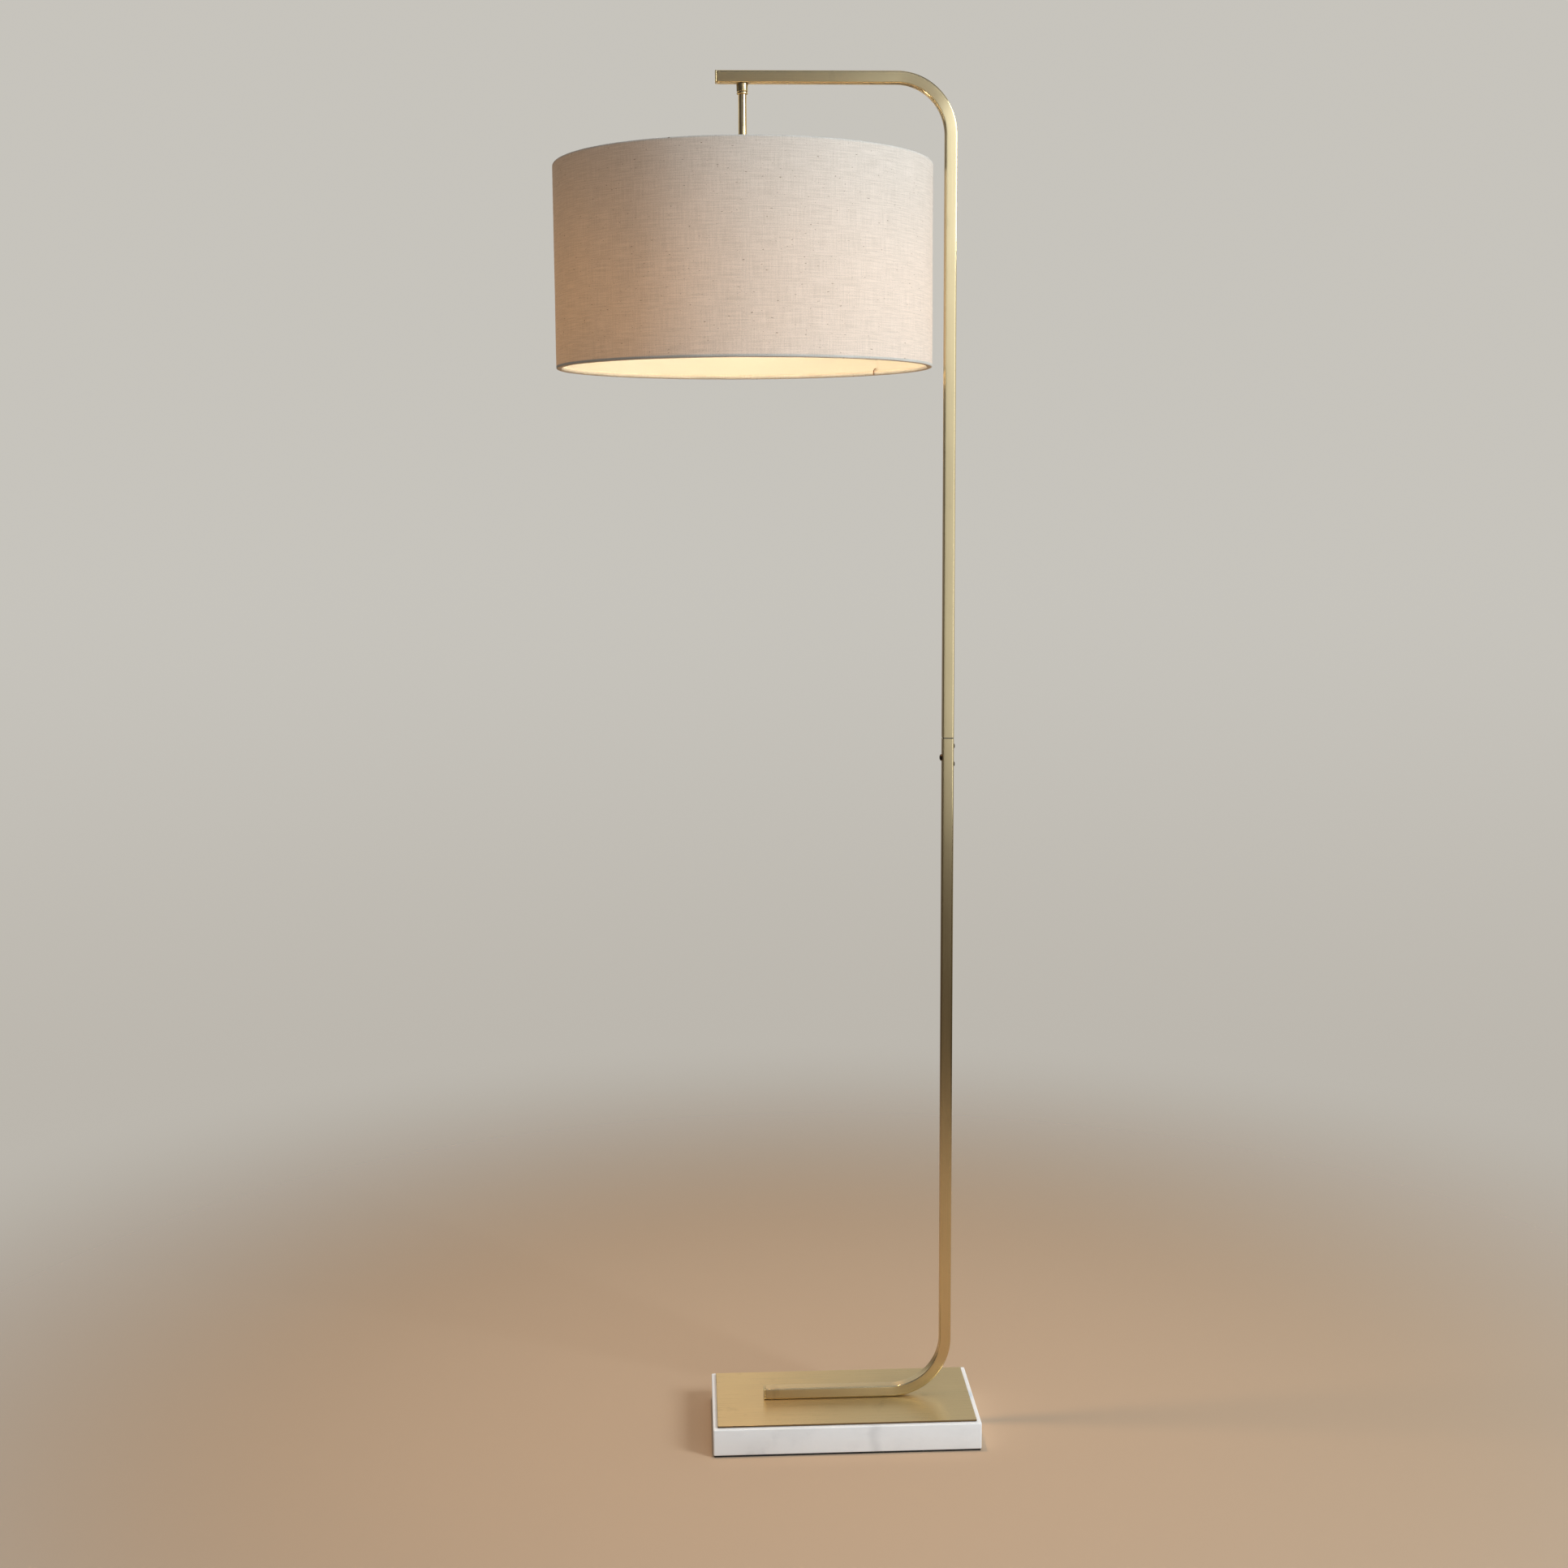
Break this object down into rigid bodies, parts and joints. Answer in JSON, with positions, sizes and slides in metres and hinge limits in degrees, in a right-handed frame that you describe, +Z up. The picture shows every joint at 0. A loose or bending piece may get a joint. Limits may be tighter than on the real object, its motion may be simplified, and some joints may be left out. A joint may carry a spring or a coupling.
{
  "type": "arc floor lamp",
  "caption": "Floor lamp: square brass tube bent up from a stone and brass foot and over in an arm, with a drum shade hung from a short rod.",
  "frame": {"origin": "centre of the base's underside, on the floor", "axes": "+Z up along the post; +X from the shade towards the post; +Y away from the front"},
  "size_m": [0.453, 0.4, 1.5],
  "materials": {
    "brushed_brass": "satin brushed, antique tone",
    "polished_brass": "polished",
    "white_marble": "honed, soft grey veins",
    "base_rubber": "matt",
    "black_rubber": "matt",
    "zinc_steel": "zinc plated",
    "black_steel": "blackened",
    "flex_sheath": "extruded sheath",
    "black_phenolic": "moulded",
    "white_ceramic": "unglazed",
    "white_wire": "white powder coat",
    "shade_lining": "smooth backing film",
    "natural_linen": "plain weave with slubs",
    "nickel_plate": "bright",
    "opal_glass": "opal"
  },
  "bodies": {
    "stand": {"base_pad": "base_rubber", "marble_slab": "white_marble", "brass_plate": "brushed_brass", "base_bolt_outer": "zinc_steel", "base_bolt_inner": "zinc_steel", "base_washer_outer": "zinc_steel", "base_washer_inner": "zinc_steel", "leg_nut_outer": "zinc_steel", "leg_nut_inner": "zinc_steel", "lower_tube": "brushed_brass", "leg_end_cap": "brushed_brass", "cord_gland": "black_rubber", "joint_spigot": "zinc_steel", "joint_button_screw": "black_steel", "joint_pan_screw_upper": "black_steel", "joint_pan_screw_lower": "black_steel", "upper_tube": "brushed_brass", "arm_end_cap": "brushed_brass", "swivel_stud": "zinc_steel", "swivel_collar": "polished_brass", "supply_flex": "flex_sheath"},
    "pendant": {"drop_rod": "polished_brass", "rod_check_ring": "polished_brass", "holder_cap": "black_phenolic", "holder_lock_nut": "zinc_steel", "holder_insert": "white_ceramic", "holder_skirt": "black_phenolic", "holder_screw_shell": "polished_brass", "holder_contact": "polished_brass"},
    "clamp_ring": {"shade_clamp_ring": "black_phenolic"},
    "shade": {"shade_top_frame": "white_wire", "shade_bottom_ring": "white_wire", "shade_lining": "shade_lining", "shade_fabric": "natural_linen"},
    "bulb": {"bulb_screw_cap": "nickel_plate", "bulb_contact": "polished_brass", "bulb_glass": "opal_glass"}
  },
  "joints": [
    {"name": "rod_swivel", "type": "hinge", "parent": "stand", "child": "pendant", "pos_m": [-0.103, 0, 1.4796], "axis": [0, 0, 1], "range_deg": [-170, 170]},
    {"name": "shade_turn", "type": "hinge", "parent": "pendant", "child": "shade", "pos_m": [-0.103, 0, 1.33], "axis": [0, 0, 1], "continuous": true},
    {"name": "clamp_ring_turn", "type": "hinge", "parent": "pendant", "child": "clamp_ring", "pos_m": [-0.103, 0, 1.325], "axis": [0, 0, 1], "range_deg": [-1080, 0]},
    {"name": "bulb_turn", "type": "hinge", "parent": "pendant", "child": "bulb", "pos_m": [-0.103, 0, 1.308], "axis": [0, 0, 1], "range_deg": [-1350, 0]}
  ]
}
